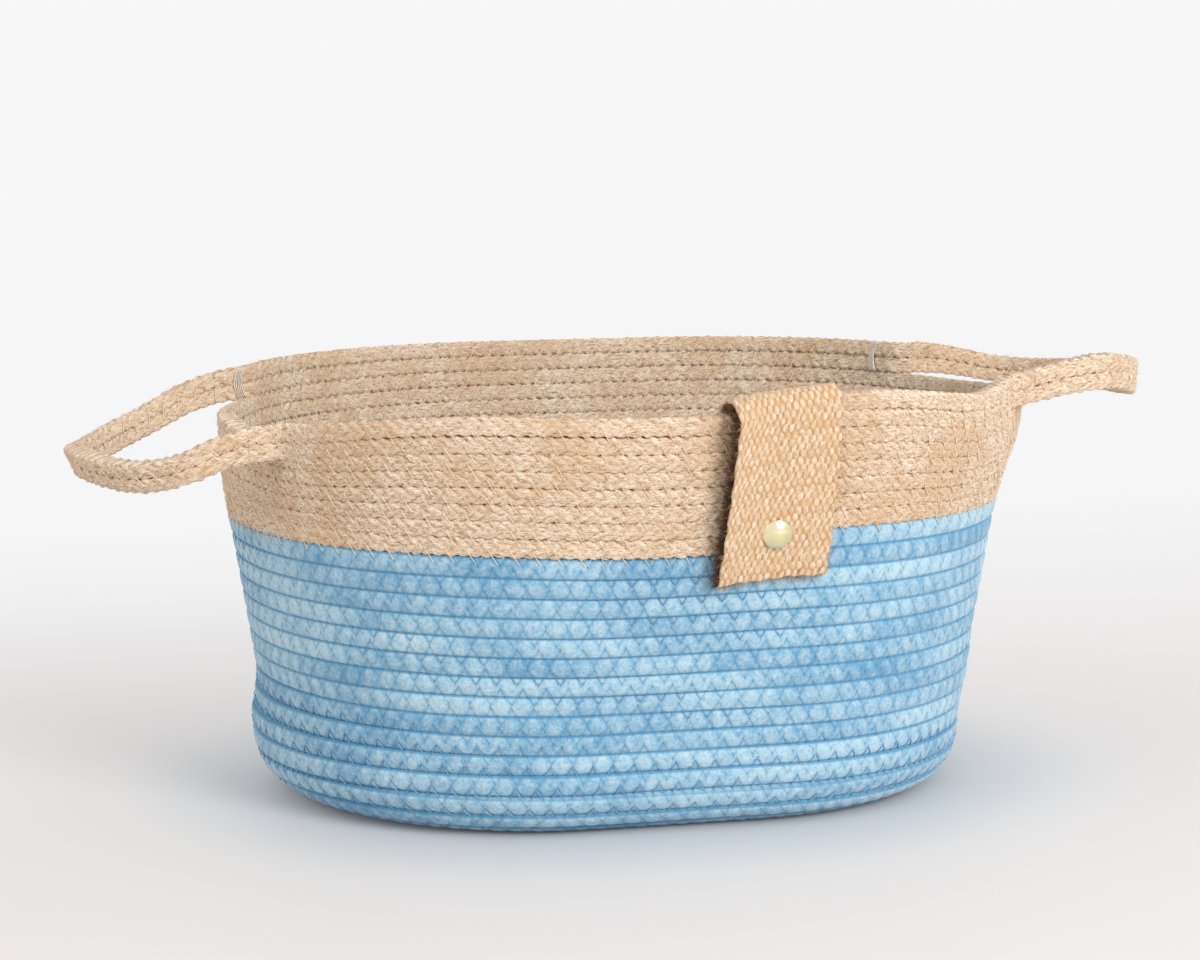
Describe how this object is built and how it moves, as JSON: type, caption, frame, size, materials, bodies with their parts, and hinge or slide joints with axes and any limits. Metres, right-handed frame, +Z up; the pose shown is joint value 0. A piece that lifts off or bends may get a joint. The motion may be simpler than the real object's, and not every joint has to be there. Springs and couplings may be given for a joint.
{
  "type": "storage basket",
  "caption": "Oval storage basket coiled from thick rope with a band of jute cord, two side loop handles and a folded webbing tag riveted over the rim.",
  "frame": {"origin": "on the floor, under the middle of the straight run that the base is wound round", "axes": "+X along the long axis of the oval, from the left handle to the right one; the tag is on the -Y side; +Z up"},
  "size_m": [0.3984, 0.2355, 0.1535],
  "materials": {
    "blue_rope": "hand-dyed blue cotton rope, matt, darker and paler stretches, zigzag stitched in blue",
    "jute_cord": "natural plaited jute cord, slightly shiny fibres with fine fuzz, zigzag stitched in cream",
    "jute_webbing": "plain-woven jute webbing with frayed edges",
    "rivet_brass": "polished pale brass"
  },
  "bodies": {
    "basket": {"base_coil": "blue_rope", "wall_coil": "blue_rope", "band_coil": "jute_cord", "rim_front_left_lower": "jute_cord", "rim_back_lower": "jute_cord", "rim_front_right_lower": "jute_cord", "rim_front_left_upper": "jute_cord", "rim_back_upper": "jute_cord", "rim_front_right_upper": "jute_cord", "tag_strap": "jute_webbing", "rivet_cap": "rivet_brass", "rivet_post": "rivet_brass"},
    "handle_left": {"handle_left_lower": "jute_cord", "handle_left_upper": "jute_cord"},
    "handle_right": {"handle_right_lower": "jute_cord", "handle_right_upper": "jute_cord"}
  },
  "joints": [
    {"name": "handle_left_flex", "type": "hinge", "parent": "basket", "child": "handle_left", "pos_m": [-0.14455, 0, 0.14097], "axis": [0, 1, 0], "range_deg": [-6, 96], "stiffness_Nm_per_rad": 0.05},
    {"name": "handle_right_flex", "type": "hinge", "parent": "basket", "child": "handle_right", "pos_m": [0.14455, 0, 0.14383], "axis": [0, -1, 0], "range_deg": [-25, 77], "stiffness_Nm_per_rad": 0.05}
  ]
}
